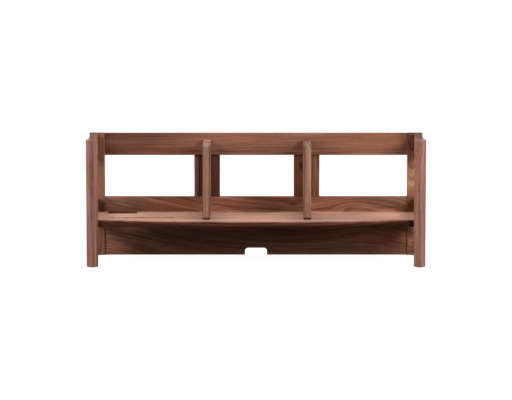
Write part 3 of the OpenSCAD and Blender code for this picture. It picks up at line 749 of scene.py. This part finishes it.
# Which stations a hollow takes in, and how far its rounded corners keep it back at each of them.
def hollowPlan(shelf, hollow, x):
    left = shelf[hollow + "Left"]
    right = left + shelf[hollow + "Length"]
    within = (x > left + shelf["wallGap"] / 2) & (x < right - shelf["wallGap"] / 2)
    return within, cornerBack(np.minimum(x - left, right - x), shelf[hollow + "Corner"])


# The board's closed section at every station, as arrays of y and z with one row for each. A section runs
# from the lower front edge up the undercut (a quarter of a superellipse), over the nose (a quarter
# circle), along the top with the tray's dip, down the back edge and home along the bottom. The front
# edge is a circular arc through both ends and the bowed middle; the back edge steps in at the cut-out.
def boardSections(shelf, x):
    one = np.ones((len(x), 1))
    bow = shelf["endFront"] - shelf["middleFront"]
    radius = (shelf["half"] ** 2 + bow ** 2) / (2 * bow)
    edge = (shelf["middleFront"] + radius - np.sqrt(radius ** 2 - x ** 2))[:, None]
    low, high = shelf["low"], shelf["top"]
    noseLow = high - shelf["nose"]

    angle = np.linspace(math.pi / 2, 0, shelf["undercutPoints"])
    power = 2 / shelf["fullness"]
    underY = shelf["lowFront"] - (shelf["lowFront"] - edge) * np.cos(angle) ** power
    underZ = one * (noseLow - (noseLow - low) * np.sin(angle) ** power)
    angle = np.linspace(0, math.pi / 2, shelf["nosePoints"])[1:]
    noseY = edge + shelf["nose"] * (1 - np.cos(angle))
    noseZ = one * (noseLow + shelf["nose"] * np.sin(angle))

    inTray, inset = hollowPlan(shelf, "tray", x)
    inset = np.where(inTray, inset, shelf["trayCorner"])[:, None]
    dip = np.where(inTray, shelf["trayDepth"], 0.0)[:, None]
    trayFront = shelf["trayFront"] + inset
    trayBack = shelf["trayFront"] + shelf["trayWidth"] - inset
    wallDown = np.array(shelf["wallDown"])
    wallIn = np.array(shelf["wallIn"])

    inCut, inset = hollowPlan(shelf, "cut", x)
    rear = np.where(inCut, shelf["back"] - shelf["cutDepth"] + inset, shelf["back"])[:, None]
    third = (high - low) / 3
    strips = [
        (underY, underZ),
        (noseY, noseZ),
        ((noseY[:, -1:] + trayFront) / 2, one * high),
        (trayFront + wallIn, high - dip * wallDown),
        ((trayFront + trayBack) / 2, high - dip),
        (trayBack - wallIn[::-1], high - dip * wallDown[::-1]),
        (trayBack + (rear - trayBack) * np.array(shelf["topShares"]), one * np.full(2, high)),
        (rear * np.ones(4), one * np.array([high, high - third, low + third, low])),
        (rear + (shelf["lowFront"] - rear) * np.array(shelf["baseShares"]), one * np.full(2, low)),
    ]
    return [np.hstack([strip[part] for strip in strips]) for part in (0, 1)]


# A closed skin over rows of points: a face between each two neighbours of a ring and the same two of the
# next ring, and one face over each end.
def makeSkin(name, points, sharp):
    count, ring = points.shape[:2]
    i, j = np.meshgrid(np.arange(count - 1), np.arange(ring), indexing="ij")
    here = i * ring + j
    beside = i * ring + (j + 1) % ring
    quads = np.stack([here, here + ring, beside + ring, beside], axis=2).reshape(-1, 4)
    first = list(range(ring))
    last = [(count - 1) * ring + corner for corner in reversed(first)]
    mesh = bpy.data.meshes.new(name)
    mesh.from_pydata(points.reshape(-1, 3).tolist(), [], quads.tolist() + [first, last])
    mesh.polygons.foreach_set("use_smooth", np.ones(len(mesh.polygons), bool))
    mesh.update()
    mesh.set_sharp_from_angle(angle=math.radians(sharp))
    return mesh


# A new object of a mesh, a lamp or a camera, in the scene.
def placeObject(name, data):
    thing = bpy.data.objects.new(name, data)
    bpy.context.scene.collection.objects.link(thing)
    return thing


# The shelf board: its closed section carried from left to right.
def makeShelfBoard(shelf):
    x = boardStations(shelf)
    y, z = boardSections(shelf, x)
    points = np.stack([x[:, None] * np.ones(y.shape[1]), y, z], axis=2)
    board = placeObject("shelfBoard", makeSkin("shelfBoard", points, shelf["sharp"]))
    dress(board, walnutMaterial("shelfBoardWood", **shelf["wood"]))
    return board


board = makeShelfBoard(shelfBoard)
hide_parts("shelf_board")
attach(board, "root")
print("shelf board:", len(board.data.polygons), "faces")


dowelLook = {
    "grain": "X", "heart": (0.02, 0.01, 0), "tilt": (0.02, 0.03),
    "light": (0.62, 0.46, 0.29), "dark": (0.42, 0.28, 0.16),
    "ringWidth": 0.0022, "line": 0.3, "streak": 0.4,
}
dowelWood = walnutMaterial("dowelWood", **dowelLook)
for name in nodes:
    if "dowels" in name:
        dress(nodes[name], dowelWood)


# Its two noises are given by their scale, detail and roughness.
felt = {
    "light": (0.11, 0.1, 0.09), "dark": (0.05, 0.045, 0.04), "step": (0.35, 0.65),
    "clumps": (420.0, 3.0, 0.6), "clumpShare": 0.6,
    "fibres": (2600.0, 2.0, 0.7), "fibreShare": 0.4,
    "roughness": 0.95, "sheen": 0.25,
    "bump": 0.0003, "bumpStrength": 0.6,
}


# Pressed felt: two scales of noise for its clumps and its fibres, in colour and in height.
def makeFelt(look):
    material, tree, shader = newMaterial("feltPad")
    place = tree.nodes.new("ShaderNodeTexCoord").outputs["Object"]
    clumps = times(tree, noiseNode(tree, place, *look["clumps"]), look["clumpShare"])
    fibres = times(tree, noiseNode(tree, place, *look["fibres"]), look["fibreShare"])
    both = plus(tree, clumps, fibres)
    mixed = mixColours(tree, smoothStep(tree, both, *look["step"]), look["dark"], look["light"])
    give(tree, shader.inputs["Base Color"], mixed)
    give(tree, shader.inputs["Roughness"], look["roughness"])
    give(tree, shader.inputs["Sheen Weight"], look["sheen"])
    addBump(tree, shader, both, look["bumpStrength"], look["bump"])
    return material


dress(nodes["foot_pads"], makeFelt(felt))
print("dowels and felt dressed")


# Its place and its focal length follow from the perspective of the photo.
view = {
    "place": (0.0, -8.089, 1.2928),
    "down": 8.0,                 # degrees below level
    "focalPixels": 3224.7, "imageWidth": 512,
    "filmWidth": 36, "farthest": 60,
}


# A camera that looks along +Y and down. Its lens is the focal length in pixels, brought to the film.
def makeCamera(shot):
    camera = placeObject("camera", bpy.data.cameras.new("camera"))
    camera.location = shot["place"]
    camera.rotation_euler = (math.radians(90 - shot["down"]), 0, 0)
    camera.data.sensor_width = shot["filmWidth"]
    camera.data.lens = shot["focalPixels"] / shot["imageWidth"] * shot["filmWidth"]
    camera.data.clip_end = shot["farthest"]
    bpy.context.scene.camera = camera


makeCamera(view)
print("camera placed")


studio = {
    "floorSize": 3.4,
    "floorOwn": 0.95,            # how much of the floor's white doesn't depend on the lamps
    "floorColour": 0.12,
    "ambient": 0.02,
    "aim": (0, 0, 0.15),
    "lamps": {
        "steepRight": {"place": (1.9, -0.9, 1.6), "size": (1.0, 1.0), "power": 47},
        "steepLeft": {"place": (-1.9, -0.9, 1.6), "size": (1.0, 1.0), "power": 47},
        "frontRight": {"place": (1.6, -2.2, 1.3), "size": (1.2, 1.0), "power": 15},
        "right": {"place": (2.8, -1.0, 1.3), "size": (1.8, 1.6), "power": 18},
        "left": {"place": (-2.8, -1.0, 1.3), "size": (1.8, 1.6), "power": 6},
        "above": {"place": (0.0, 1.1, 2.5), "size": (2.0, 2.2), "power": 88},
    },
}


# 1 for rays from the camera, off a mirror or through glass, and 0 for the rest.
def seenDirectly(tree):
    path = tree.nodes.new("ShaderNodeLightPath").outputs
    mirrored = mathNode(tree, "MAXIMUM", path["Is Glossy Ray"], path["Is Transmission Ray"])
    return mathNode(tree, "MAXIMUM", path["Is Camera Ray"], mirrored)


# A flat square that the part stands on. The camera sees it as white with the part's soft shadow.
def makeFloor(room):
    half = room["floorSize"] / 2
    mesh = bpy.data.meshes.new("floor")
    corners = [(-half, -half, 0), (half, -half, 0), (half, half, 0), (-half, half, 0)]
    mesh.from_pydata(corners, [], [(0, 1, 2, 3)])
    floor = placeObject("floor", mesh)
    material, tree, shader = newMaterial("floorWhite")
    tree.nodes.remove(shader)
    own = times(tree, seenDirectly(tree), room["floorOwn"])
    plain = makeNode(tree, "ShaderNodeBsdfDiffuse", {"Color": [room["floorColour"]] * 3})
    glow = makeNode(tree, "ShaderNodeEmission", {"Strength": own})
    both = tree.nodes.new("ShaderNodeAddShader")
    give(tree, both.inputs[0], plain.outputs[0])
    give(tree, both.inputs[1], glow.outputs[0])
    give(tree, tree.nodes["Material Output"].inputs["Surface"], both.outputs[0])
    dress(floor, material)


# The world is white to the camera and in reflections, and a soft grey light otherwise.
def makeWorld(room):
    world = bpy.data.worlds.new("studio")
    bpy.context.scene.world = world
    world.use_nodes = True
    tree = world.node_tree
    tree.nodes.clear()
    strength = ramp(tree, seenDirectly(tree), 0.0, 1.0, room["ambient"], 1.0)
    light = makeNode(tree, "ShaderNodeBackground", {"Color": (1, 1, 1), "Strength": strength})
    makeNode(tree, "ShaderNodeOutputWorld", {"Surface": light.outputs[0]})


# A rectangular lamp turned to face the aim.
def makeLamp(name, look, aim):
    data = bpy.data.lights.new(name, "AREA")
    data.shape = "RECTANGLE"
    data.size, data.size_y = look["size"]
    data.energy = look["power"]
    lamp = placeObject(name, data)
    lamp.location = look["place"]
    x, y, z = np.array(aim) - np.array(look["place"])
    lamp.rotation_euler = (math.atan2(math.hypot(x, y), -z), 0, math.atan2(y, x) - math.pi / 2)


makeFloor(studio)
makeWorld(studio)
for name, look in studio["lamps"].items():
    makeLamp(name, look, studio["aim"])
bpy.context.scene.view_settings.view_transform = "Standard"
print("studio lit")
